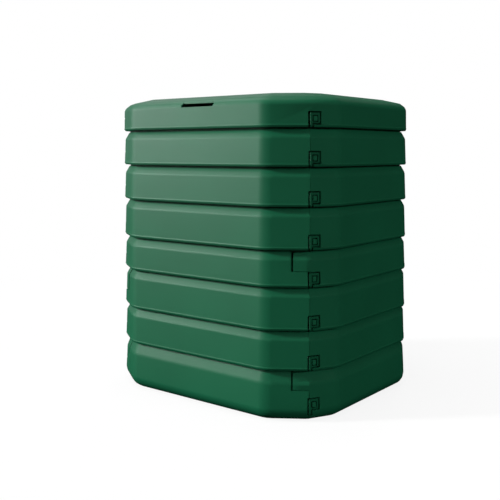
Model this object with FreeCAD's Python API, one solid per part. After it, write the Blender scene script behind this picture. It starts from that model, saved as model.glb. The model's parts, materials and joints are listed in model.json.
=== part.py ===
import FreeCAD, Part
import math
import os

# Stacking compost bin: a tall base ring, six wall rings and a hinged lid.
# Every ring is four hollow wall panels that meet in the corners and are held by P-shaped lock clips.
# Millimetres, +Z up, front towards -Y, origin on the ground below the middle of the bin.

V = FreeCAD.Vector
UP = V(0, 0, 1)
CENTRE = V(0, 0, 0)

# Plan of the walls, measured on the outside
WIDTH = 864.0
DEPTH = 750.0
BEND_ON_FRONT = 157.0       # from the square corner to the bend of the front wall
BEND_ON_SIDE = 165.0        # from the square corner to the bend of the side wall
SEAM_FROM_SIDE = 45.0       # corner seam, in from the side wall
SEAM_FROM_FRONT = 77.0      # corner seam, in from the front wall
BEND_RADIUS = 75.0

# Heights of the levels, from the ground up
BASE_HEIGHT = 148.0
RING_HEIGHTS = (118.0, 128.0, 109.0, 126.0, 116.0, 114.0)

# Section of a wall panel
WALL = 4.0
DRAFT = 4.0                 # the wall leans in by this much towards its shoulder
NECK_IN = 17.0
SHOULDER_HEIGHT = 23.0
BASE_SHOULDER_HEIGHT = 33.0
AIR_GAP = 4.0               # open line between two levels
EDGE_HEIGHT = 11.0          # bottom edge of the wall, above a lip that slopes back under it
EDGE_IN = 4.5
LIP_RISE = 1.0
BEAD_HEIGHT = 3.5           # slight bead along the bottom edge
BEAD_OUT = 1.0
FOOT_IN = 20.0
FOOT_WALL = 4.0
COLLAR_CLEARANCE = 2.0      # stacking collar to the foot of the level above
COLLAR_WALL = 4.0
COLLAR_HEIGHT = 18.0
COLLAR_TAPER = 1.0          # the collar gets thinner by this much towards its top
BASE_ROUND = 40.0           # large round along the ground
BASE_ROUND_STEPS = 4
BASE_FLANGE = 28.0          # foot along the ground, on the straight walls only
FLANGE_END = 60.0           # from a bend of the wall to the end of the foot
SEAM_GAP = 0.6
CUT_PROUD = 10.0            # cuts and blocks start this far outside a face

# Lock clips in the corners
CLIP_WIDTH = 31.0           # on the side panel, from the seam
CLIP_WRAP = 2.5             # strip of the clip on the front panel's side of the seam
CLIP_HEIGHT = 46.5
CLIP_STEM = 7.0
CLIP_BOWL = 30.0
CLIP_SLOT = 4.0             # open line round the clip
CLIP_DEPTH = 13.0
CLIP_INSET = 2.0            # the clip's face sits this far behind the wall
CLIP_RISE_BASE = 22.0       # the base ring's clips sit above its large round
EYE_WIDTH = 18.0
EYE_HEIGHT = 20.0
EYE_DOWN = 6.5              # from the top of the clip to its eye
PEG_CLEARANCE = 2.8
CLIP_TONGUE = 18.0          # reach of the clip behind the next panel
CLIP_TONGUE_WALL = 4.0
CLIP_TONGUE_HEIGHT = 20.0
POST_LENGTH = 44.0          # solid corner post behind the clip
POST_DEPTH = 24.0
BASE_POST_DEPTH = 50.0

# Closing tabs, where a side panel laps over the end of the front panel
TAB_LENGTH = 50.0
TAB_SLIT = 4.5
TAB_JOINT = 1.5
TAB_BOTTOM = 52.0
BASE_TAB_BOTTOM = 95.0
TAB_DROP = 5.0
TAB_BACKING = 20.0          # plate behind the slits of the hatch
TAB_SPARE = 0.5             # the tab's cut stops short of the collar
RIGHT_TAB_RING_NUMBER = 3
LEFT_TAB_RING_NUMBER = 2

# Hatch: the front panel of the base ring
HATCH_TOP_GAP = 0.5
HATCH_END_GAP = 1.5

# Stiffening ribs inside the panels
RIB_WALL = 4.0
RIB_SPACING = 300.0

# Lid
LID_SKIRT = 79.0
LID_DRAFT = 2.0
KNEE_RUN = 22.0
KNEE_HEIGHT = 94.5
ROOF_RUN = 82.0
ROOF_HEIGHT = 108.5
DOME_RUN = 170.0
LID_HEIGHT = 113.0
LID_POST_HEIGHT = 64.0
SLOT_LENGTH = 128.0
SLOT_ASIDE = 17.0           # the hand slot sits right of the middle
SLOT_DOWN = 4.0
SLOT_BACK = 11.0

# Lid hinges, in the open line at the back
HINGE_IN = 10.0
HINGE_DROP = 2.0
HINGE_OFFSET = 210.0        # from the middle of the back
KNUCKLE_RADIUS = 5.0
KNUCKLE_LENGTH = 30.0
KNUCKLE_GAP = 0.6
KNUCKLE_WEB = 12.0
PIN_RADIUS = 2.5
PIN_CLEARANCE = 0.3
PIN_LENGTH = 3 * KNUCKLE_LENGTH + 2 * KNUCKLE_GAP

FRONT_BEND = V(WIDTH / 2 - BEND_ON_FRONT, -DEPTH / 2, 0)
SEAM = V(WIDTH / 2 - SEAM_FROM_SIDE, -DEPTH / 2 + SEAM_FROM_FRONT, 0)
SIDE_BEND = V(WIDTH / 2, -DEPTH / 2 + BEND_ON_SIDE, 0)
FACE_A = (SEAM - FRONT_BEND).normalize()        # corner face of the front panel, towards the seam
FACE_B = (SIDE_BEND - SEAM).normalize()         # corner face of the side panel, away from the seam
COLLAR_IN = FOOT_IN + FOOT_WALL + COLLAR_CLEARANCE


def outward(direction):
    """Outward normal of a wall that runs along direction, with the bin on its left."""
    return V(direction.y, -direction.x, 0)


def flip_x(shape):
    return shape.mirror(CENTRE, V(1, 0, 0))


def flip_y(shape):
    return shape.mirror(CENTRE, V(0, 1, 0))


def half_turn(shape):
    turned = shape.copy()
    turned.rotate(CENTRE, UP, 180)
    return turned


def lifted(shape, height):
    moved = shape.copy()
    moved.translate(UP * height)
    return moved


def softened(before, corner, after, radius):
    """Three points that round a corner of a path: start, middle and end of its tangent arc."""
    into = (corner - before).normalize()
    out = (after - corner).normalize()
    turn = into.getAngle(out)
    reach = radius * math.tan(turn / 2)
    inward = (out - into).normalize()
    middle = corner + inward * (radius / math.cos(turn / 2) - radius)
    return [corner - into * reach, middle, corner + out * reach]


def flat_solid(outlines):
    """Solid with flat faces between outlines of equally many points, closed at both ends."""
    faces = []
    for first, last in zip(outlines, outlines[1:]):
        for index in range(len(first)):
            corners = [first[index - 1], first[index], last[index], last[index - 1]]
            faces.append(Part.Face(Part.makePolygon(corners + corners[:1])))
    for outline in (outlines[0], outlines[-1]):
        faces.append(Part.Face(Part.makePolygon(outline + outline[:1])))
    shell = Part.Shell(faces)
    shell.sewShape()
    solid = Part.Solid(shell)
    if solid.Volume < 0:
        solid.reverse()
    return solid


def section_at(section, place, mitre):
    return [place + mitre * out + UP * level for out, level in section]


def straight(section, start, direction, length):
    """Wall section run straight along one face."""
    normal = outward(direction)
    return flat_solid([section_at(section, start, normal),
                       section_at(section, start + direction * length, normal)])


def wall_run(section, path):
    """Wall section run along a path whose corners are softened."""
    points = path[:1]
    for before, corner, after in zip(path, path[1:], path[2:]):
        points += softened(before, corner, after, BEND_RADIUS)
    points += path[-1:]
    normals = [outward((last - first).normalize()) for first, last in zip(points, points[1:])]
    mitres = [normals[0]]
    for one, other in zip(normals, normals[1:]):
        mitres.append((one + other) * (1 / (1 + one.dot(other))))
    mitres.append(normals[-1])
    return flat_solid([section_at(section, place, mitre) for place, mitre in zip(points, mitres)])


def face_prism(outline, direction, depth, proud=CUT_PROUD):
    """Outline in (along, height) on a corner face at the seam, from outside the face to a depth."""
    normal = outward(direction)
    corners = [SEAM + direction * along + UP * height + normal * proud for along, height in outline]
    face = Part.Face(Part.makePolygon(corners + corners[:1]))
    return face.extrude(normal * -(depth + proud))


def seam_block(towards, shift):
    """Everything beyond the corner seam, on the side of the given direction."""
    along = (outward(FACE_A) + outward(FACE_B)).normalize()
    across = V(along.y, -along.x, 0)
    if across.dot(towards) < 0:
        across = across * -1
    start = SEAM + across * shift - UP * DEPTH
    corners = [start + along * DEPTH, start - along * DEPTH]
    corners += [corner + across * DEPTH for corner in reversed(corners)]
    face = Part.Face(Part.makePolygon(corners + corners[:1]))
    return face.extrude(UP * (3 * DEPTH))


def bottom_edge():
    """Foot, sloped lip and beaded bottom edge of a ring or the lid, from the bottom up."""
    line = [(-FOOT_IN, 0), (-FOOT_IN, AIR_GAP), (-EDGE_IN, AIR_GAP + LIP_RISE)]
    return line + [(0, EDGE_HEIGHT), (-BEAD_OUT, EDGE_HEIGHT + BEAD_HEIGHT)]


def outer_line(height, base):
    """Outside of a level's wall section, from the bottom up."""
    if base:
        turns = [math.pi / 2 * step / BASE_ROUND_STEPS for step in range(BASE_ROUND_STEPS + 1)]
        line = [(BASE_ROUND * (math.sin(turn) - 1), BASE_ROUND * (1 - math.cos(turn))) for turn in turns]
        shoulder = BASE_SHOULDER_HEIGHT
    else:
        line = bottom_edge()
        shoulder = SHOULDER_HEIGHT
    return line + [(-DRAFT, height - shoulder), (-NECK_IN, height)]


def inner_line(height, base):
    """Inside of a level's wall section, from the top down."""
    shoulder = BASE_SHOULDER_HEIGHT if base else SHOULDER_HEIGHT
    line = [(-NECK_IN - WALL, height - WALL), (-DRAFT - WALL, height - shoulder - WALL / 2)]
    if base:
        return line + [(-WALL, BASE_ROUND), (-BASE_ROUND / 2, BASE_ROUND / 4 + WALL), (-BASE_ROUND, WALL)]
    line += [(-WALL, EDGE_HEIGHT + WALL / 2)]
    return line + [(-FOOT_IN - FOOT_WALL, AIR_GAP + WALL), (-FOOT_IN - FOOT_WALL, 0)]


def panel_section(height, base=False, collar=True):
    line = outer_line(height, base)
    if collar:
        back = -COLLAR_IN - COLLAR_WALL
        line += [(-COLLAR_IN, height), (back + COLLAR_TAPER, height + COLLAR_HEIGHT)]
        line += [(back, height - WALL)]
    else:
        line += [(-COLLAR_IN, height), (-COLLAR_IN, height - WALL)]
    return line + inner_line(height, base)


def filled_section(height, base=False):
    back = -BASE_POST_DEPTH if base else -POST_DEPTH
    return outer_line(height, base) + [(back, height), (back, 0)]


def clip_outline(rise, grow=0.0):
    """P shape on the side panel's corner face, grown all round for its recess."""
    left = -CLIP_WRAP - grow
    right = CLIP_WIDTH + grow
    stem = CLIP_STEM + grow
    top = rise + CLIP_HEIGHT + grow
    bowl = rise + CLIP_HEIGHT - CLIP_BOWL - grow
    bottom = rise - grow
    return [(left, bottom), (stem, bottom), (stem, bowl), (right, bowl), (right, top), (left, top)]


def wrap_outline(rise, grow=0.0):
    """Strip of the clip's stem on the front panel's corner face, grown for its recess."""
    left = -CLIP_WRAP - grow
    right = CLIP_STEM
    top = rise + CLIP_HEIGHT + grow
    bottom = rise - grow
    return [(left, bottom), (right, bottom), (right, top), (left, top)]


def eye_outline(rise, shrink=0.0):
    middle = CLIP_STEM + EYE_WIDTH / 2
    centre = rise + CLIP_HEIGHT - EYE_DOWN - EYE_HEIGHT / 2
    wide = EYE_WIDTH / 2 - shrink
    tall = EYE_HEIGHT / 2 - shrink
    return [(middle - wide, centre - tall), (middle + wide, centre - tall),
            (middle + wide, centre + tall), (middle - wide, centre + tall)]


def lock_clip(side, front, rise):
    """P clip cut from a filled corner, with an eye and a tongue that reaches behind the front panel."""
    clip = side.common(face_prism(clip_outline(rise), FACE_B, CLIP_DEPTH))
    clip = clip.cut(face_prism(clip_outline(rise, CLIP_SLOT), FACE_B, CLIP_INSET))
    strip = front.common(face_prism(wrap_outline(rise), FACE_A, CLIP_DEPTH))
    low = rise + CLIP_HEIGHT - CLIP_TONGUE_HEIGHT - CLIP_SLOT
    high = rise + CLIP_HEIGHT - CLIP_SLOT
    reach = [(-CLIP_TONGUE, low), (CLIP_STEM / 2, low), (CLIP_STEM / 2, high), (-CLIP_TONGUE, high)]
    tongue = face_prism(reach, FACE_A, CLIP_DEPTH, CLIP_TONGUE_WALL - CLIP_DEPTH)
    clip = clip.fuse([strip, tongue])
    return clip.cut(face_prism(eye_outline(rise), FACE_B, CLIP_DEPTH)).removeSplitter()


def wrap_recess(rise):
    """Open slot for the clip's stem in the end of a front panel."""
    return face_prism(wrap_outline(rise, CLIP_SLOT), FACE_A, CLIP_DEPTH)


def with_recess(shape, filled, rise):
    """Corner with the recess for a clip and the square peg inside it."""
    recess = face_prism(clip_outline(rise, CLIP_SLOT), FACE_B, CLIP_DEPTH)
    peg = filled.common(face_prism(eye_outline(rise, PEG_CLEARANCE), FACE_B, CLIP_DEPTH))
    return shape.cut(recess).fuse(peg)


def corner_fill(height, base):
    """Solid corner post of a side panel, before its recess is cut."""
    start = SEAM - FACE_B * POST_LENGTH
    post = straight(filled_section(height, base), start, FACE_B, 2 * POST_LENGTH)
    return post.cut(seam_block(FACE_A * -1, 0))


def front_corner_fill(height, base):
    """The same on the front panel's side of the seam."""
    start = SEAM - FACE_A * POST_LENGTH
    post = straight(filled_section(height, base), start, FACE_A, 2 * POST_LENGTH)
    return post.cut(seam_block(FACE_B, 0))


def front_flange():
    """Foot of the base ring along the straight part of its front wall."""
    half = FRONT_BEND.x - FLANGE_END
    return Part.makeBox(2 * half, BASE_FLANGE, WALL, V(-half, -DEPTH / 2 + BASE_ROUND, 0))


def side_flange():
    half = -SIDE_BEND.y - FLANGE_END
    start = V(WIDTH / 2 - BASE_ROUND - BASE_FLANGE, -half, 0)
    return Part.makeBox(BASE_FLANGE, 2 * half, WALL, start)


def ribs(height, base, span, place_rib):
    """Upright ribs behind a wall, evenly spaced about its middle."""
    back = -COLLAR_IN
    outline = outer_line(height, base)
    wall_line = [point for point in outline if point[0] > -NECK_IN and point[1] >= EDGE_HEIGHT]
    inner = [(out - WALL / 2, level) for out, level in wall_line]
    profile = inner + [(back, height - SHOULDER_HEIGHT), (back, wall_line[0][1])]
    count = int(span / RIB_SPACING)
    return [place_rib(profile, (index - (count - 1) / 2) * RIB_SPACING) for index in range(count)]


def front_rib(profile, across):
    corners = [V(across - RIB_WALL / 2, -DEPTH / 2 - out, level) for out, level in profile]
    return Part.Face(Part.makePolygon(corners + corners[:1])).extrude(V(RIB_WALL, 0, 0))


def side_rib(profile, across):
    corners = [V(WIDTH / 2 + out, across - RIB_WALL / 2, level) for out, level in profile]
    return Part.Face(Part.makePolygon(corners + corners[:1])).extrude(V(0, RIB_WALL, 0))


def tab_cut(height, bottom, depth):
    """Place of a closing tab at the end of a front panel."""
    outline = [(TAB_SLIT, bottom - TAB_JOINT), (TAB_SLIT, 2 * height)]
    outline += [(-TAB_LENGTH - TAB_SLIT, 2 * height), (-TAB_LENGTH - TAB_SLIT, bottom - TAB_JOINT)]
    return face_prism(outline, FACE_A, depth)


def closing_tab(height, base):
    """Tab of a side panel that laps round the seam, lower towards its free end."""
    bottom = BASE_TAB_BOTTOM if base else TAB_BOTTOM
    start = SEAM - FACE_A * TAB_LENGTH
    wall = straight(panel_section(height, base, False), start, FACE_A, 2 * TAB_LENGTH)
    outline = [(TAB_LENGTH, bottom), (TAB_LENGTH, height), (0, height)]
    outline += [(-TAB_LENGTH, height - TAB_DROP), (-TAB_LENGTH, bottom)]
    tab = wall.common(face_prism(outline, FACE_A, POST_DEPTH))
    if base:
        far = -TAB_LENGTH - TAB_BACKING
        low = bottom - TAB_BACKING
        high = height + COLLAR_HEIGHT
        plate = [(0, low), (0, high), (far, high), (far, low)]
        behind = COLLAR_IN + COLLAR_CLEARANCE
        tab = tab.fuse(face_prism(plate, FACE_A, behind + WALL, -behind))
    return tab.cut(seam_block(FACE_B, 0))


def front_panel(height, base=False, hatch=False, tabs=(False, False)):
    """Front wall with both corner faces. tabs says where a side panel laps over it, left and right."""
    end = SEAM + FACE_A * POST_LENGTH
    left_end = V(-end.x, end.y, 0)
    left_bend = V(-FRONT_BEND.x, FRONT_BEND.y, 0)
    level = height - HATCH_TOP_GAP if hatch else height
    wall = wall_run(panel_section(level, base, not hatch), [left_end, left_bend, FRONT_BEND, end])
    feet = [front_flange()] if base else []
    wall = wall.fuse(ribs(level, base, 2 * FRONT_BEND.x, front_rib) + feet).removeSplitter()
    beyond = seam_block(FACE_B, -HATCH_END_GAP if hatch else -SEAM_GAP)
    stem_room = wrap_recess(CLIP_RISE_BASE if base else 0.0)
    wall = wall.cut([beyond, flip_x(beyond), stem_room, flip_x(stem_room)])
    bottom = BASE_TAB_BOTTOM if base else TAB_BOTTOM
    room = tab_cut(height, bottom, COLLAR_IN + COLLAR_WALL if hatch else COLLAR_IN - TAB_SPARE)
    if tabs[0]:
        wall = wall.cut(flip_x(room))
    if tabs[1]:
        wall = wall.cut(room)
    return wall


def side_panel(height, base=False, tab=False):
    """Right wall with both corner posts and their recesses. tab is at the front end."""
    end = SEAM - FACE_B * POST_LENGTH
    back_end = V(end.x, -end.y, 0)
    back_bend = V(SIDE_BEND.x, -SIDE_BEND.y, 0)
    wall = wall_run(panel_section(height, base), [end, SIDE_BEND, back_bend, back_end])
    feet = [side_flange()] if base else []
    wall = wall.fuse(ribs(height, base, -2 * SIDE_BEND.y, side_rib) + feet).removeSplitter()
    beyond = seam_block(FACE_A * -1, 0)
    wall = wall.cut([beyond, flip_y(beyond)])
    rise = CLIP_RISE_BASE if base else 0.0
    post = corner_fill(height, base)
    end_outline = [(POST_LENGTH, -CUT_PROUD), (2 * POST_LENGTH, -CUT_PROUD)]
    end_outline += [(2 * POST_LENGTH, 2 * height), (POST_LENGTH, 2 * height)]
    post_end = face_prism(end_outline, FACE_B, BASE_POST_DEPTH)
    post = with_recess(post.cut(post_end), post, rise)
    recess = face_prism(clip_outline(rise, CLIP_SLOT), FACE_B, CLIP_DEPTH)
    wall = wall.cut([recess, flip_y(recess)])
    pieces = [post, flip_y(post)]
    if tab:
        pieces.append(closing_tab(height, base))
    return wall.fuse(pieces).removeSplitter()


def corner_clips(height, base=False):
    """The four clips of one level."""
    rise = CLIP_RISE_BASE if base else 0.0
    clip = lock_clip(corner_fill(height, base), front_corner_fill(height, base), rise)
    return [clip, flip_x(clip), flip_y(clip), half_turn(clip)]


def plan_outline(inset, height):
    """Closed plan of the bin, moved in from the outside, with softened bends and sharp seams."""
    faces = [V(1, 0, 0), FACE_A, FACE_B, V(0, 1, 0)]
    points = [FRONT_BEND, SEAM, SIDE_BEND]
    moved = []
    for corner, into, out in zip(points, faces, faces[1:]):
        mitre = outward(into) + outward(out)
        moved.append(corner - mitre * (inset / (1 + outward(into).dot(outward(out)))))
    front, seam, side = moved
    radius = max(BEND_RADIUS - inset, WALL)
    quarter = softened(V(0, front.y, 0), front, seam, radius) + [seam]
    quarter += softened(seam, side, V(side.x, 0, 0), radius)
    right = quarter + [V(point.x, -point.y, 0) for point in reversed(quarter)]
    points = right + [V(-point.x, point.y, 0) for point in reversed(right)]
    return [point + UP * height for point in points]


def plan_loft(line):
    """Solid through plans given as (out, height), joined by flat faces."""
    return flat_solid([plan_outline(-out, level) for out, level in line])


def hinge_places():
    return [-HINGE_OFFSET, HINGE_OFFSET]


def knuckle(across, length, radius, top):
    """Round barrel across the back of the bin, about the hinge line below the lid."""
    start = V(across - length / 2, DEPTH / 2 - HINGE_IN, top - HINGE_DROP)
    return Part.makeCylinder(radius, length, start, V(1, 0, 0))


def knuckle_web(across, length, top, low, high):
    """Web between a barrel and its panel."""
    start = V(across - length / 2, DEPTH / 2 - NECK_IN - WALL / 2, top + low)
    return Part.makeBox(length, NECK_IN - HINGE_IN + WALL / 2, high - low, start)


def with_hinge_barrels(panel, top):
    """Two barrels on the back panel for each hinge, either side of the lid's barrel."""
    step = KNUCKLE_LENGTH + KNUCKLE_GAP
    for across in [place + side * step for place in hinge_places() for side in (-1, 1)]:
        web = knuckle_web(across, KNUCKLE_LENGTH, top, -KNUCKLE_WEB, 0)
        panel = panel.fuse([knuckle(across, KNUCKLE_LENGTH, KNUCKLE_RADIUS, top), web])
        panel = panel.cut(knuckle(across, KNUCKLE_LENGTH * 2, PIN_RADIUS + PIN_CLEARANCE, top))
    return panel.removeSplitter()


def lid_skirt_line():
    """Outside of the lid's skirt, from the bottom up."""
    return bottom_edge() + [(-LID_DRAFT, LID_SKIRT)]


def lid_shell(top):
    """Lid as one moulded shell: skirt, sloped border, slightly domed roof, hand slot and hinge barrels."""
    outside = lid_skirt_line() + [(-KNEE_RUN, KNEE_HEIGHT)]
    outside += [(-ROOF_RUN, ROOF_HEIGHT), (-DOME_RUN, LID_HEIGHT)]
    inside = [(-FOOT_IN - FOOT_WALL, -AIR_GAP), (-FOOT_IN - FOOT_WALL, AIR_GAP + WALL)]
    inside += [(-WALL, EDGE_HEIGHT + WALL / 2), (-LID_DRAFT - WALL, LID_SKIRT - WALL / 2)]
    inside += [(-KNEE_RUN - WALL / 2, KNEE_HEIGHT - WALL)]
    inside += [(-ROOF_RUN, ROOF_HEIGHT - WALL), (-DOME_RUN, LID_HEIGHT - WALL)]
    solid = plan_loft(outside)
    shell = solid.cut(plan_loft(inside))
    slot_start = V(SLOT_ASIDE - SLOT_LENGTH / 2, -DEPTH / 2 - WALL + LID_DRAFT, LID_SKIRT - SLOT_DOWN)
    slot = Part.makeBox(SLOT_LENGTH, SLOT_BACK + WALL, LID_HEIGHT, slot_start)
    shell = shell.cut(slot)
    post_outline = [(-POST_LENGTH, 0), (POST_LENGTH, 0)]
    post_outline += [(POST_LENGTH, LID_POST_HEIGHT), (-POST_LENGTH, LID_POST_HEIGHT)]
    post_block = face_prism(post_outline, FACE_B, POST_DEPTH)
    post_block = post_block.cut(seam_block(FACE_A * -1, 0))
    post = solid.common(post_block)
    recess = face_prism(clip_outline(0, CLIP_SLOT), FACE_B, CLIP_DEPTH).fuse(wrap_recess(0))
    post = with_recess(post, post, 0)
    shell = shell.cut([recess, flip_x(recess), flip_y(recess), half_turn(recess)])
    shell = shell.fuse([post, flip_x(post), flip_y(post), half_turn(post)])
    shell = lifted(shell, top)
    for across in hinge_places():
        web = knuckle_web(across, KNUCKLE_LENGTH, top, 0, AIR_GAP + LIP_RISE)
        shell = shell.fuse([knuckle(across, KNUCKLE_LENGTH, KNUCKLE_RADIUS, top), web])
        shell = shell.cut(knuckle(across, KNUCKLE_LENGTH * 2, PIN_RADIUS + PIN_CLEARANCE, top))
    return shell.removeSplitter()


def lid_clips(top):
    skirt = plan_loft(lid_skirt_line())
    clip = lock_clip(skirt.cut(seam_block(FACE_A * -1, 0)), skirt.cut(seam_block(FACE_B, 0)), 0)
    return [lifted(shape, top) for shape in (clip, flip_x(clip), flip_y(clip), half_turn(clip))]


def save(name, solids):
    shape = solids[0] if len(solids) == 1 else Part.makeCompound(solids)
    shape.exportStep("parts/" + name + ".step")


os.makedirs("parts", exist_ok=True)

# Base ring, with the hatch in front
save("base_hatch", [front_panel(BASE_HEIGHT, True, True, (True, True))])
save("base_back_panel", [half_turn(front_panel(BASE_HEIGHT, True))])
save("base_right_panel", [side_panel(BASE_HEIGHT, True, True)])
save("base_left_panel", [flip_x(side_panel(BASE_HEIGHT, True, True))])
save("base_corner_locks", corner_clips(BASE_HEIGHT, True))

# Wall rings, from the ground up
floor = BASE_HEIGHT
for number, height in enumerate(RING_HEIGHTS, 1):
    name = "ring" + str(number)
    left_tab = number == LEFT_TAB_RING_NUMBER
    right_tab = number == RIGHT_TAB_RING_NUMBER
    back = half_turn(front_panel(height))
    back = lifted(back, floor)
    if number == len(RING_HEIGHTS):
        back = with_hinge_barrels(back, floor + height)
    save(name + "_front_panel", [lifted(front_panel(height, tabs=(left_tab, right_tab)), floor)])
    save(name + "_back_panel", [back])
    save(name + "_right_panel", [lifted(side_panel(height, tab=right_tab), floor)])
    save(name + "_left_panel", [lifted(flip_x(side_panel(height, tab=left_tab)), floor)])
    save(name + "_corner_locks", [lifted(clip, floor) for clip in corner_clips(height)])
    floor += height

# Lid on the top ring
save("lid_shell", [lid_shell(floor)])
save("lid_corner_locks", lid_clips(floor))
save("lid_hinge_pins", [knuckle(across, PIN_LENGTH, PIN_RADIUS, floor) for across in hinge_places()])
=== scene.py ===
import json
import math

import bmesh
import bpy
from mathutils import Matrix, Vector

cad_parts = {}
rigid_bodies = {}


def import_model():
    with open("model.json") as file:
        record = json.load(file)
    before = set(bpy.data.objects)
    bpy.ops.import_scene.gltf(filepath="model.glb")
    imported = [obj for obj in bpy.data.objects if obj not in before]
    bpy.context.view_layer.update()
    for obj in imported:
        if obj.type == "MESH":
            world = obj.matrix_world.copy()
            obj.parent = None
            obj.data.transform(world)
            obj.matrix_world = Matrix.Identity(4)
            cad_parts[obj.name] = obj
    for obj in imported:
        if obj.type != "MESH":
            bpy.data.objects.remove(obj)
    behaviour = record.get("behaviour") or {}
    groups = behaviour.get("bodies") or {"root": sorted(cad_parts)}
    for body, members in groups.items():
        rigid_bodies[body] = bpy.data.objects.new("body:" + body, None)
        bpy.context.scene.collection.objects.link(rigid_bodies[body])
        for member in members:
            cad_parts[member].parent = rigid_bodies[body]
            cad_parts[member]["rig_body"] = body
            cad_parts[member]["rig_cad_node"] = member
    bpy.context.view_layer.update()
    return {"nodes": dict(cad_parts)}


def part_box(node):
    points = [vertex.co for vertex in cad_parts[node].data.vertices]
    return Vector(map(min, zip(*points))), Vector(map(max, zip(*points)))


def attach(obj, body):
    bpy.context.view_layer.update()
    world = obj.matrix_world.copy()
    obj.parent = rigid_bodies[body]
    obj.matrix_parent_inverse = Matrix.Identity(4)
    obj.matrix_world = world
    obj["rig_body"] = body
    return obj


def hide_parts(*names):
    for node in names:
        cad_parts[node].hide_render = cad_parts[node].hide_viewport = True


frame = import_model()

# Stacking compost bin in green moulded plastic. Metres and degrees, front towards -Y.
# Each panel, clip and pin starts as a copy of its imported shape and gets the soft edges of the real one.

# Levels of the bin
RING_COUNT = 6
COLLAR_RISE = 0.018
HATCH_PLAY = 0.0005

# Level lines of a wall panel, measured from its top or its floor
SHOULDER_DOWN = 0.023
BASE_SHOULDER_DOWN = 0.033
LIP_UP = 0.005
BOTTOM_EDGE_UP = 0.011
BEAD_TOP_UP = 0.0145

# Step of the lip line, and how near a point lies to a line that it belongs to
LIP_OUT = 0.002
LINE_CATCH = 0.0004

# Rounds that the mould leaves, and the steps they are made in
SHOULDER_ROUND = 0.005
BASE_SHOULDER_ROUND = 0.007
SHOULDER_PROFILE = 0.6
PLAIN_PROFILE = 0.5
BOTTOM_EDGE_ROUND = 0.0011
BEAD_ROUND = 0.0006
MOULD_EDGE = 0.0007
MOULD_EDGE_ROOM = 2 * MOULD_EDGE
MOULD_EDGE_SHORT = 3 * MOULD_EDGE
FINE_STEPS = 2
SMALL_STEPS = 3
BEND_STEPS = 6
BROAD_STEPS = 8

# Upright edges of the corner locks
LOCK_FROM = 0.36
LOCK_TOP = 0.078
CLIP_EDGE = 0.0016
CLIP_EDGE_ROOM = 1.3 * CLIP_EDGE
CLIP_EDGE_SHORT = 0.003
CLIP_EDGE_UPRIGHT = 0.7
CLIP_EDGE_SHARP = 60

# Closing tabs at the ends of two front panels, and the slits beside them
TAB_RINGS = {"left": 2, "right": 3}
TAB_ALONG = Vector((0.824, 0.567, 0))
TAB_LOW = 0.045
TAB_BEND = Vector((0.387, -0.298))
TAB_BEND_ROUND = 0.012
TAB_BEND_REACH = 0.02
TAB_BEND_UPRIGHT = 0.5
SLIT_SPLAY = {"left": 0.008, "right": 0.0025}

# Lid, with the hand slot in its front edge
LID_SKIRT = 0.079
LID_EDGE_ROUND = 0.010
SLOT_ASIDE = 0.017
SLOT_HALF = 0.066
SLOT_FRONT = -0.35
SLOT_LOW = 0.07
SLOT_SILL = 0.075
SLOT_DEEPER = 0.003
SLOT_RIM = 0.0015

# How faces and edges are told apart: cosines of facing, and angles of bend
FACES_OUT = 0.3
FACES_FULLY_OUT = 0.8
FACES_UP = 0.5
FACES_DOWN = -0.3
FACES_ALONG = 0.98
FACES_ACROSS = 0.2
BEND_LEAST = 5.7
SHARP_MOULDED = 40
SHARP_TURNED = 60
SMOOTH_MOULDED = 25
SMOOTH_TURNED = 40
FLAT_FACE_WEIGHT = 80
POINT_MERGE = 0.00002
FLAT_WITHIN = 0.4

# Plastic: pigment, flow marks in the gloss, and grain
GREEN = (0.0048, 0.075, 0.034)
GREEN_ROUGHNESS = 0.47
# Lock clips are painted about a fifth darker than the panels: painted shade of the recesses they sit in
CLIP_SHADED_GREEN = (0.0038, 0.06, 0.0272)
CLIP_ROUGHNESS = 0.42
PIGMENT_SCALE = 5.0
PIGMENT_DETAIL = 4.0
PIGMENT_STOPS = (0.3, 0.7)
PIGMENT_SHIFT = 0.05
FLOW_SCALE = 14.0
FLOW_DETAIL = 3.0
FLOW_STRETCH = (1.0, 1.0, 3.0)
FLOW_GLOSS_SHIFT = 0.03
GRAIN_SCALE = 900.0
GRAIN_DETAIL = 2.0
GRAIN_STRENGTH = 0.12
GRAIN_DEPTH = 0.0002

# Zinc plating of the hinge pins
ZINC_COLOUR = (0.56, 0.57, 0.58, 1)
ZINC_LINE_SCALE = 1500.0
ZINC_LINE_DETAIL = 2.0
ZINC_LINE_STRETCH = (0.05, 1.0, 1.0)
ZINC_ROUGHNESS = (0.3, 0.5)

# Floor: white to the eye, dark to the light that bounces, and shining to the gloss at its front left
FLOOR_SIZE = 80
FLOOR_PALE = (0.6, 0.6, 0.6, 1)
FLOOR_BOUNCE = (0.012, 0.012, 0.012, 1)
FLOOR_SHEEN = 0.2
FLOOR_SHEEN_LEFT = (0.0, -0.6)
FLOOR_SHEEN_FRONT = (-0.4, -0.75)
SHADOW_GLOW = 0.88
SHADOW_REACH = (0.8, 2.5)
INSIDE_HALF = (0.33, 0.28, 1)

# Room
ROOM_WHITE = (1, 1, 1, 1)
ROOM_FILL = 0.25
ROOM_LIT_FROM = (-1, 0, 0)
ROOM_LIT_WITHIN = (0.5, 1.0)
ROOM_DARK_SIDE = 0.005
ROOM_LIT_SIDE = 0.3

# Row of softboxes at the left, and where the other lamps aim or stand
SHEEN_AIM = Vector((0, -0.375, 0.9))
SHEEN_TURNS = (-66, -52, -38)
SHEEN_RISE = 12.4
SHEEN_POWER = 3.0
SHEEN_SPREAD = 50
SHEEN_DISTANCE = 4.0
SHEEN_WIDTH = 1.25
SHEEN_HEIGHT = 1.15
LID_MIDDLE = (0, 0, 0.95)
SHOULDER_AIM = (-0.1, -0.375, 0.8)
OPEN_SPREAD = 180
CEILING_DISTANCE = 5

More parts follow.
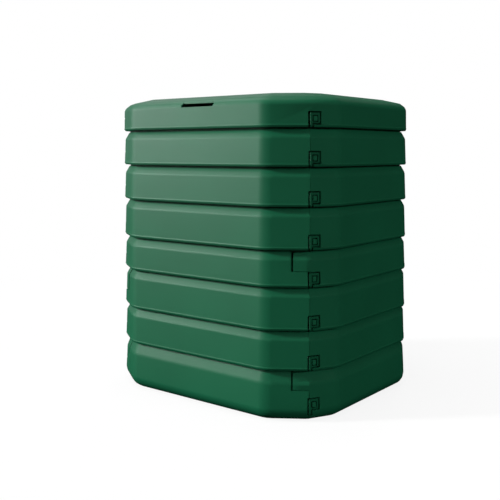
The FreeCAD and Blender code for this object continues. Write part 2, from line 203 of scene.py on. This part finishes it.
# Camera
CAMERA_PLACE = (1.6306, -2.1789, 0.7943)
CAMERA_DOWN = 3.557
CAMERA_TURN = 37.914
CAMERA_LENS = 56.333
CAMERA_SENSOR = 36
CAMERA_SHIFT = -0.10


def only(piece):
    """Makes one piece the selected and active one."""
    bpy.ops.object.select_all(action="DESELECT")
    piece.select_set(True)
    bpy.context.view_layer.objects.active = piece


def merged_copy(node, name):
    """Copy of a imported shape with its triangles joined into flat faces."""
    only(frame["nodes"][node])
    bpy.ops.object.duplicate()
    piece = bpy.context.view_layer.objects.active
    piece.name = name
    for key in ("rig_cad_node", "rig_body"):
        if key in piece:
            del piece[key]
    bpy.ops.object.mode_set(mode="EDIT")
    bpy.ops.mesh.select_all(action="SELECT")
    bpy.ops.mesh.remove_doubles(threshold=POINT_MERGE)
    bpy.ops.mesh.dissolve_limited(angle_limit=math.radians(FLAT_WITHIN))
    bpy.ops.mesh.select_all(action="DESELECT")
    bpy.ops.object.mode_set(mode="OBJECT")
    return piece


def round_edges(piece, wanted, width, steps, profile=PLAIN_PROFILE):
    """Rounds the edges that wanted(edge) picks. A higher profile keeps the edge crisper."""
    only(piece)
    bpy.ops.object.mode_set(mode="EDIT")
    bpy.ops.mesh.select_mode(type="EDGE")
    bpy.ops.mesh.select_all(action="DESELECT")
    mesh = bmesh.from_edit_mesh(piece.data)
    picked = [edge for edge in mesh.edges if len(edge.link_faces) == 2 and wanted(edge)]
    for edge in picked:
        edge.select_set(True)
    bmesh.update_edit_mesh(piece.data)
    if picked:
        bpy.ops.mesh.bevel(offset=width, segments=steps, profile=profile, clamp_overlap=False)
    bpy.ops.mesh.select_all(action="DESELECT")
    bpy.ops.object.mode_set(mode="OBJECT")


def move_points(piece, step_of):
    """Moves each point of a piece by the step that step_of(vertex) gives. None leaves it in place."""
    mesh = bmesh.new()
    mesh.from_mesh(piece.data)
    mesh.normal_update()
    steps = [(vertex, step_of(vertex)) for vertex in mesh.verts]
    for vertex, step in steps:
        if step:
            vertex.co += step
    mesh.to_mesh(piece.data)
    mesh.free()


def looks_out(face, least=FACES_OUT):
    """True for a face that looks away from the middle of the bin."""
    middle = face.calc_center_median()
    return face.normal.xy.dot(middle.xy.normalized()) > least


def bends_over(edge, angle):
    """True for an edge that bends by more than an angle."""
    return edge.calc_face_angle() > math.radians(angle)


def bends_outside(edge):
    """True for a bent edge between two faces of the outside."""
    return bends_over(edge, BEND_LEAST) and all(looks_out(face) for face in edge.link_faces)


def upright(edge, share):
    """True where the rise of an edge is more than a share of its length."""
    start, end = [vertex.co for vertex in edge.verts]
    return abs(start.z - end.z) > share * edge.calc_length()


def has_room(edge, width):
    """True where both faces beside an edge are wide enough for its round."""
    return all(face.calc_area() > width * edge.calc_length() for face in edge.link_faces)


def near_slot(place):
    """True for a place in the lid's front, within the length of the hand slot."""
    return abs(place.x - SLOT_ASIDE) < SLOT_HALF and place.y < SLOT_FRONT


def on_level(level):
    """Picks bent edges that lie along one height on the outside."""
    def wanted(edge):
        flat = max(abs(vertex.co.z - level) for vertex in edge.verts) < LINE_CATCH
        return flat and bends_outside(edge)
    return wanted


def sharp_over(angle):
    """Picks edges that bend by more than an angle and leave room for a fine round."""
    def wanted(edge):
        long_enough = edge.calc_length() > MOULD_EDGE_SHORT
        return bends_over(edge, angle) and long_enough and has_room(edge, MOULD_EDGE_ROOM)
    return wanted


def upright_rim(floor):
    """Picks the upright edges of the lock clips and of the recesses they sit in."""
    def wanted(edge):
        start, end = [vertex.co for vertex in edge.verts]
        sharp = upright(edge, CLIP_EDGE_UPRIGHT) and bends_over(edge, CLIP_EDGE_SHARP)
        on_face = sum(looks_out(face, FACES_FULLY_OUT) for face in edge.link_faces) == 1
        at_lock = min(abs(start.x), abs(end.x)) > LOCK_FROM and max(start.z, end.z) < floor + LOCK_TOP
        long_enough = edge.calc_length() > CLIP_EDGE_SHORT
        return sharp and on_face and at_lock and long_enough and has_room(edge, CLIP_EDGE_ROOM)
    return wanted


def tab_bend(floor):
    """Picks the upright bend where a closing tab turns into its side panel."""
    def wanted(edge):
        start, end = [vertex.co for vertex in edge.verts]
        beside_tab = min(start.z, end.z) > floor + TAB_LOW
        middle = (start + end) / 2
        near = (Vector((abs(middle.x), middle.y)) - TAB_BEND).length < TAB_BEND_REACH
        return upright(edge, TAB_BEND_UPRIGHT) and beside_tab and near and bends_outside(edge)
    return wanted


def slot_rim(floor):
    """Picks the rim of the hand slot in the lid's front edge."""
    def wanted(edge):
        middle = (edge.verts[0].co + edge.verts[1].co) / 2
        near = near_slot(middle) and middle.z > floor + SLOT_LOW
        on_skin = sum(looks_out(face) or face.normal.z > FACES_UP for face in edge.link_faces) == 1
        return near and on_skin and bends_over(edge, SHARP_MOULDED)
    return wanted


def set_lip_out(piece, floor):
    """Sets the lower line of the sloped lip a little further out."""
    def step_of(vertex):
        outer = [face.normal for face in vertex.link_faces if looks_out(face)]
        slopes = [normal for normal in outer if normal.z < FACES_DOWN]
        if abs(vertex.co.z - floor - LIP_UP) < LINE_CATCH and slopes:
            return (sum(slopes, Vector()).xy.normalized() * LIP_OUT).to_3d()
        return None
    move_points(piece, step_of)


def splay_slit(piece, side, floor):
    """Draws the front panel's outer edge back from the slit beside a closing tab."""
    line = TAB_ALONG.copy()
    if side == "left":
        line.x = -line.x

    def step_of(vertex):
        on_side = vertex.co.x * line.x > 0 and vertex.co.z > floor + TAB_LOW
        at_end = any(face.normal.dot(line) > FACES_ALONG for face in vertex.link_faces)
        outer = [face.normal for face in vertex.link_faces if looks_out(face)]
        on_skin = any(abs(normal.dot(line)) < FACES_ACROSS for normal in outer)
        if on_side and at_end and on_skin:
            return -line * SLIT_SPLAY[side]
        return None
    move_points(piece, step_of)


def deepen_slot(piece, floor):
    """Sets the sill of the hand slot a little lower."""
    def step_of(vertex):
        if near_slot(vertex.co) and abs(vertex.co.z - floor - SLOT_SILL) < LINE_CATCH:
            return Vector((0, 0, -SLOT_DEEPER))
        return None
    move_points(piece, step_of)


def finish_piece(piece, node, body, material, angle=SMOOTH_MOULDED):
    """Smooth shading that keeps flat faces flat, then the material and the ride."""
    only(piece)
    bpy.ops.object.shade_smooth_by_angle(angle=math.radians(angle))
    weights = piece.modifiers.new("even_shading", "WEIGHTED_NORMAL")
    weights.keep_sharp = True
    weights.weight = FLAT_FACE_WEIGHT
    bpy.ops.object.modifier_apply(modifier=weights.name)
    piece.data.materials.clear()
    piece.data.materials.append(material)
    piece.parent = None
    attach(piece, body)
    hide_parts(node)


def add_node(tree, kind, inputs=None, operation=None):
    """Adds a node. An input takes a value, or a link where the output of another node is given."""
    node = tree.nodes.new(kind)
    if operation:
        node.operation = operation
    for socket, value in (inputs or {}).items():
        if isinstance(value, bpy.types.NodeSocket):
            tree.links.new(value, node.inputs[socket])
        else:
            node.inputs[socket].default_value = value
    return node


def new_material(name):
    """New material with its node tree."""
    material = bpy.data.materials.new(name)
    material.use_nodes = True
    return material, material.node_tree


def noise(tree, place, scale, detail):
    """Noise pattern on the given coordinates, from 0 to 1."""
    pattern = add_node(tree, "ShaderNodeTexNoise", {"Vector": place, "Scale": scale, "Detail": detail})
    return pattern.outputs["Fac"]


def stretched(tree, place, scale):
    """Coordinates that are stretched along the axes."""
    return add_node(tree, "ShaderNodeMapping", {"Vector": place, "Scale": scale}).outputs["Vector"]


def calculated(tree, operation, first, second):
    """Result of a calculation with two numbers."""
    return add_node(tree, "ShaderNodeMath", {0: first, 1: second}, operation).outputs["Value"]


def ranged(tree, value, start, end):
    """Number that is mapped from the span of start to the span of end, and kept within it."""
    spans = {"From Min": start[0], "From Max": start[1], "To Min": end[0], "To Max": end[1]}
    return add_node(tree, "ShaderNodeMapRange", {"Value": value, **spans}).outputs["Result"]


def moulded_plastic(name, colour, roughness):
    """Satin moulded plastic: fine grain, slow flow marks in the gloss and a little uneven pigment."""
    material, tree = new_material(name)
    shader = tree.nodes["Principled BSDF"]
    place = add_node(tree, "ShaderNodeTexCoord").outputs["Object"]

    pigment = noise(tree, place, PIGMENT_SCALE, PIGMENT_DETAIL)
    shade = add_node(tree, "ShaderNodeValToRGB", {"Fac": pigment})
    strengths = (1 - PIGMENT_SHIFT, 1 + PIGMENT_SHIFT)
    for stop, position, strength in zip(shade.color_ramp.elements, PIGMENT_STOPS, strengths):
        stop.position = position
        stop.color = [channel * strength for channel in colour] + [1]
    tree.links.new(shade.outputs["Color"], shader.inputs["Base Color"])

    flow = noise(tree, stretched(tree, place, FLOW_STRETCH), FLOW_SCALE, FLOW_DETAIL)
    gloss = ranged(tree, flow, (0, 1), (roughness - FLOW_GLOSS_SHIFT, roughness + FLOW_GLOSS_SHIFT))
    tree.links.new(gloss, shader.inputs["Roughness"])

    grain = noise(tree, place, GRAIN_SCALE, GRAIN_DETAIL)
    bump = {"Strength": GRAIN_STRENGTH, "Distance": GRAIN_DEPTH, "Height": grain}
    tree.links.new(add_node(tree, "ShaderNodeBump", bump).outputs["Normal"], shader.inputs["Normal"])
    return material


def zinc_steel():
    """Zinc plated hinge pin: pale metal with drawn lines along it."""
    material, tree = new_material("zinc_pin")
    shader = tree.nodes["Principled BSDF"]
    shader.inputs["Metallic"].default_value = 1.0
    shader.inputs["Base Color"].default_value = ZINC_COLOUR
    place = add_node(tree, "ShaderNodeTexCoord").outputs["Object"]
    drawn = noise(tree, stretched(tree, place, ZINC_LINE_STRETCH), ZINC_LINE_SCALE, ZINC_LINE_DETAIL)
    tree.links.new(ranged(tree, drawn, (0, 1), ZINC_ROUGHNESS), shader.inputs["Roughness"])
    return material


green_plastic = moulded_plastic("green_plastic", GREEN, GREEN_ROUGHNESS)
# Darker clip plastic: painted shade of the lock recesses, on top of the same grain and flow marks
clip_plastic = moulded_plastic("clip_plastic", CLIP_SHADED_GREEN, CLIP_ROUGHNESS)
pin_steel = zinc_steel()


def shape_tab(piece, node, floor):
    """Opens the slit and softens the bend of a closing tab, on the panels that have one."""
    for side, ring in TAB_RINGS.items():
        if node == "ring" + str(ring) + "_front_panel":
            splay_slit(piece, side, floor)
        if node == "ring" + str(ring) + "_" + side + "_panel":
            round_edges(piece, tab_bend(floor), TAB_BEND_ROUND, BEND_STEPS)


def round_bottom(piece, floor):
    """Rounds the bead and the edge below it, along the bottom of a ring or the lid."""
    round_edges(piece, on_level(floor + BEAD_TOP_UP), BEAD_ROUND, FINE_STEPS)
    round_edges(piece, on_level(floor + BOTTOM_EDGE_UP), BOTTOM_EDGE_ROUND, SMALL_STEPS)


def wall_panel(node, body, floor, top, base):
    """One panel of a level, with its soft shoulder, lip, bead and lock recesses."""
    piece = merged_copy(node, node + "_moulded")
    shoulder = BASE_SHOULDER_DOWN if base else SHOULDER_DOWN
    width = BASE_SHOULDER_ROUND if base else SHOULDER_ROUND
    shape_tab(piece, node, floor)
    round_edges(piece, on_level(top - shoulder), width, BROAD_STEPS, SHOULDER_PROFILE)
    if not base:
        set_lip_out(piece, floor)
        round_bottom(piece, floor)
    round_edges(piece, upright_rim(floor), CLIP_EDGE, SMALL_STEPS)
    round_edges(piece, sharp_over(SHARP_MOULDED), MOULD_EDGE, FINE_STEPS)
    finish_piece(piece, node, body, green_plastic)


def lock_clips(node, body, floor):
    """The four corner clips of one level."""
    piece = merged_copy(node, node + "_moulded")
    round_edges(piece, upright_rim(floor), CLIP_EDGE, SMALL_STEPS)
    round_edges(piece, sharp_over(SHARP_MOULDED), MOULD_EDGE, FINE_STEPS)
    finish_piece(piece, node, body, clip_plastic)


def level_panels(level, floor, top, base):
    """The four panels of a level and its clips. The front panel of the base is the hatch."""
    for side in ("front", "back", "right", "left"):
        if base and side == "front":
            wall_panel("base_hatch", "hatch", floor, top - HATCH_PLAY, base)
        else:
            wall_panel(level + "_" + side + "_panel", "bin", floor, top, base)
    lock_clips(level + "_corner_locks", "bin", floor)


def lid_shell(floor):
    """Lid with its soft upper edge and the rim of the hand slot."""
    piece = merged_copy("lid_shell", "lid_shell_moulded")
    set_lip_out(piece, floor)
    deepen_slot(piece, floor)
    round_edges(piece, slot_rim(floor), SLOT_RIM, SMALL_STEPS)
    round_edges(piece, on_level(floor + LID_SKIRT), LID_EDGE_ROUND, BROAD_STEPS)
    round_bottom(piece, floor)
    round_edges(piece, sharp_over(SHARP_MOULDED), MOULD_EDGE, FINE_STEPS)
    finish_piece(piece, "lid_shell", "lid", green_plastic)


def hinge_pins():
    """The two pins that the lid turns on."""
    piece = merged_copy("lid_hinge_pins", "lid_hinge_pins_turned")
    round_edges(piece, sharp_over(SHARP_TURNED), MOULD_EDGE, FINE_STEPS)
    finish_piece(piece, "lid_hinge_pins", "bin", pin_steel, SMOOTH_TURNED)


floors = [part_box("ring" + str(number) + "_left_panel")[0].z for number in range(1, RING_COUNT + 1)]
lid_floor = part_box("ring" + str(RING_COUNT) + "_left_panel")[1].z - COLLAR_RISE
tops = floors[1:] + [lid_floor]
level_panels("base", 0.0, floors[0], True)
for number, floor, top in zip(range(1, RING_COUNT + 1), floors, tops):
    level_panels("ring" + str(number), floor, top, False)
lid_shell(lid_floor)
lock_clips("lid_corner_locks", "lid", lid_floor)
hinge_pins()


def by_ray(tree, bounced, mirrored, seen):
    """Mixes three shaders: one for light that bounces, one for gloss and one for what the eye sees."""
    path = add_node(tree, "ShaderNodeLightPath").outputs
    gloss = add_node(tree, "ShaderNodeMixShader", {"Fac": path["Is Glossy Ray"], 1: bounced, 2: mirrored})
    straight = calculated(tree, "MAXIMUM", path["Is Camera Ray"], path["Is Transmission Ray"])
    mix = add_node(tree, "ShaderNodeMixShader", {"Fac": straight, 1: gloss.outputs["Shader"], 2: seen})
    return mix.outputs["Shader"]


def outside_bin(tree, place):
    """One on the floor outside the bin, zero inside it."""
    size = add_node(tree, "ShaderNodeVectorMath", {0: place}, "ABSOLUTE").outputs["Vector"]
    share = add_node(tree, "ShaderNodeVectorMath", {0: size, 1: INSIDE_HALF}, "DIVIDE").outputs["Vector"]
    parts = add_node(tree, "ShaderNodeSeparateXYZ", {"Vector": share}).outputs
    return calculated(tree, "GREATER_THAN", calculated(tree, "MAXIMUM", parts["X"], parts["Y"]), 1.0)


def floor_seen(tree, place):
    """White floor that keeps a faint shadow near the bin and stays in the shade inside it."""
    away = add_node(tree, "ShaderNodeVectorMath", {0: place}, "LENGTH").outputs["Value"]
    glow_share = ranged(tree, away, SHADOW_REACH, (SHADOW_GLOW, 1.0))
    open_floor = calculated(tree, "MULTIPLY", glow_share, outside_bin(tree, place))
    pale = add_node(tree, "ShaderNodeBsdfDiffuse", {"Color": FLOOR_PALE}).outputs["BSDF"]
    glow = add_node(tree, "ShaderNodeEmission").outputs["Emission"]
    return add_node(tree, "ShaderNodeMixShader", {"Fac": open_floor, 1: pale, 2: glow}).outputs["Shader"]


def floor_mirrored(tree, place):
    """Floor as the gloss of the plastic shows it: lit at the front left only."""
    spot = add_node(tree, "ShaderNodeSeparateXYZ", {"Vector": place}).outputs
    on_left = ranged(tree, spot["X"], FLOOR_SHEEN_LEFT, (0, 1))
    in_front = ranged(tree, spot["Y"], FLOOR_SHEEN_FRONT, (0, FLOOR_SHEEN))
    lit = calculated(tree, "MULTIPLY", on_left, in_front)
    return add_node(tree, "ShaderNodeEmission", {"Strength": lit}).outputs["Emission"]


def pale_floor():
    """Wide floor that the bin stands on."""
    bpy.ops.object.select_all(action="DESELECT")
    bpy.ops.mesh.primitive_plane_add(size=FLOOR_SIZE, location=(0, 0, 0))
    floor = bpy.context.view_layer.objects.active
    floor.name = "floor"
    material, tree = new_material("floor_white")
    tree.nodes.remove(tree.nodes["Principled BSDF"])
    place = add_node(tree, "ShaderNodeTexCoord").outputs["Object"]
    bounce = add_node(tree, "ShaderNodeBsdfDiffuse", {"Color": FLOOR_BOUNCE}).outputs["BSDF"]
    surface = by_ray(tree, bounce, floor_mirrored(tree, place), floor_seen(tree, place))
    tree.links.new(surface, tree.nodes["Material Output"].inputs["Surface"])
    floor.data.materials.append(material)


def white_room():
    """White behind the bin, an even soft fill on it, and gloss from a room that is lit from the left."""
    world = bpy.data.worlds.new("white_room")
    bpy.context.scene.world = world
    world.use_nodes = True
    tree = world.node_tree
    fill = tree.nodes["Background"]
    fill.inputs["Color"].default_value = ROOM_WHITE
    fill.inputs["Strength"].default_value = ROOM_FILL
    place = add_node(tree, "ShaderNodeTexCoord").outputs["Generated"]
    facing = add_node(tree, "ShaderNodeVectorMath", {0: place, 1: ROOM_LIT_FROM}, "DOT_PRODUCT")
    lit = ranged(tree, facing.outputs["Value"], ROOM_LIT_WITHIN, (ROOM_DARK_SIDE, ROOM_LIT_SIDE))
    room = add_node(tree, "ShaderNodeBackground", {"Color": ROOM_WHITE, "Strength": lit})
    white = add_node(tree, "ShaderNodeBackground", {"Color": ROOM_WHITE})
    surface = by_ray(tree, *[light.outputs["Background"] for light in (fill, room, white)])
    tree.links.new(surface, tree.nodes["World Output"].inputs["Surface"])


def softbox(name, place, target, width, height, power, spread=OPEN_SPREAD):
    """Panel that shows only as sheen on the plastic. The even light comes from the ceiling."""
    lamp = bpy.data.lights.new(name, "AREA")
    lamp.shape = "RECTANGLE"
    lamp.size = width
    lamp.size_y = height
    lamp.energy = power
    lamp.spread = math.radians(spread)
    box = bpy.data.objects.new(name, lamp)
    bpy.context.scene.collection.objects.link(box)
    box.visible_diffuse = False
    box.location = place
    aim = Vector(target) - Vector(place)
    box.rotation_euler = aim.to_track_quat("-Z", "Y").to_euler()


def left_softbox(turn):
    """One of the row of softboxes at the left, turned about the lid's front."""
    name = "left_softbox_" + str(-turn)
    level = SHEEN_DISTANCE * math.cos(math.radians(SHEEN_RISE))
    place = Vector((level * math.sin(math.radians(turn)), -level * math.cos(math.radians(turn)), 0))
    place.z = SHEEN_DISTANCE * math.sin(math.radians(SHEEN_RISE))
    softbox(name, SHEEN_AIM + place, SHEEN_AIM, SHEEN_WIDTH, SHEEN_HEIGHT, SHEEN_POWER, SHEEN_SPREAD)


def sky_panel(name, comes_from, strength, spread):
    """Far, wide ceiling light that falls evenly from top to bottom."""
    lamp = bpy.data.lights.new(name, "SUN")
    lamp.energy = strength
    lamp.angle = math.radians(spread)
    panel = bpy.data.objects.new(name, lamp)
    bpy.context.scene.collection.objects.link(panel)
    panel.visible_glossy = False
    panel.location = Vector(comes_from) * CEILING_DISTANCE
    panel.rotation_euler = (-Vector(comes_from)).to_track_quat("-Z", "Y").to_euler()


def set_camera():
    """Camera of the photo's view."""
    camera = bpy.data.objects.new("camera", bpy.data.cameras.new("camera"))
    bpy.context.scene.collection.objects.link(camera)
    camera.location = CAMERA_PLACE
    camera.rotation_euler = (math.radians(90 - CAMERA_DOWN), 0, math.radians(CAMERA_TURN))
    camera.data.lens = CAMERA_LENS
    camera.data.sensor_width = CAMERA_SENSOR
    camera.data.shift_y = CAMERA_SHIFT
    bpy.context.scene.camera = camera


pale_floor()
white_room()
for turn in SHEEN_TURNS:
    left_softbox(turn)
softbox("roof_softbox", place=(-2.64, 2.48, 2.63), target=LID_MIDDLE, width=2.0, height=1.2, power=5)
softbox("high_softbox", place=(-2.15, 0.67, 3.63), target=LID_MIDDLE, width=2.0, height=2.0, power=19)
softbox("overhead_softbox", place=(-0.45, 0.43, 3.38), target=LID_MIDDLE, width=1.6, height=1.6, power=3.5)
softbox("shoulder_softbox", place=(-2.78, -1.76, 3.47), target=SHOULDER_AIM, width=1.2, height=0.8,
        power=2.4, spread=SHEEN_SPREAD)
softbox("back_softbox", place=(-0.45, 2.4, 2.75), target=LID_MIDDLE, width=2.0, height=1.4, power=1.5)
sky_panel("front_ceiling", comes_from=(-0.71, -0.67, 0.46), strength=5.75, spread=7)
sky_panel("corner_ceiling", comes_from=(0.12, -0.95, 0.29), strength=0.66, spread=6)
sky_panel("right_ceiling", comes_from=(0.93, 0.12, 0.3), strength=1.33, spread=15)
sky_panel("back_ceiling", comes_from=(-0.3, 0.8, 0.52), strength=0.9, spread=25)
sky_panel("top_ceiling", comes_from=(-0.1, -0.1, 0.98), strength=1.6, spread=30)
set_camera()
bpy.context.scene.view_settings.view_transform = "Standard"
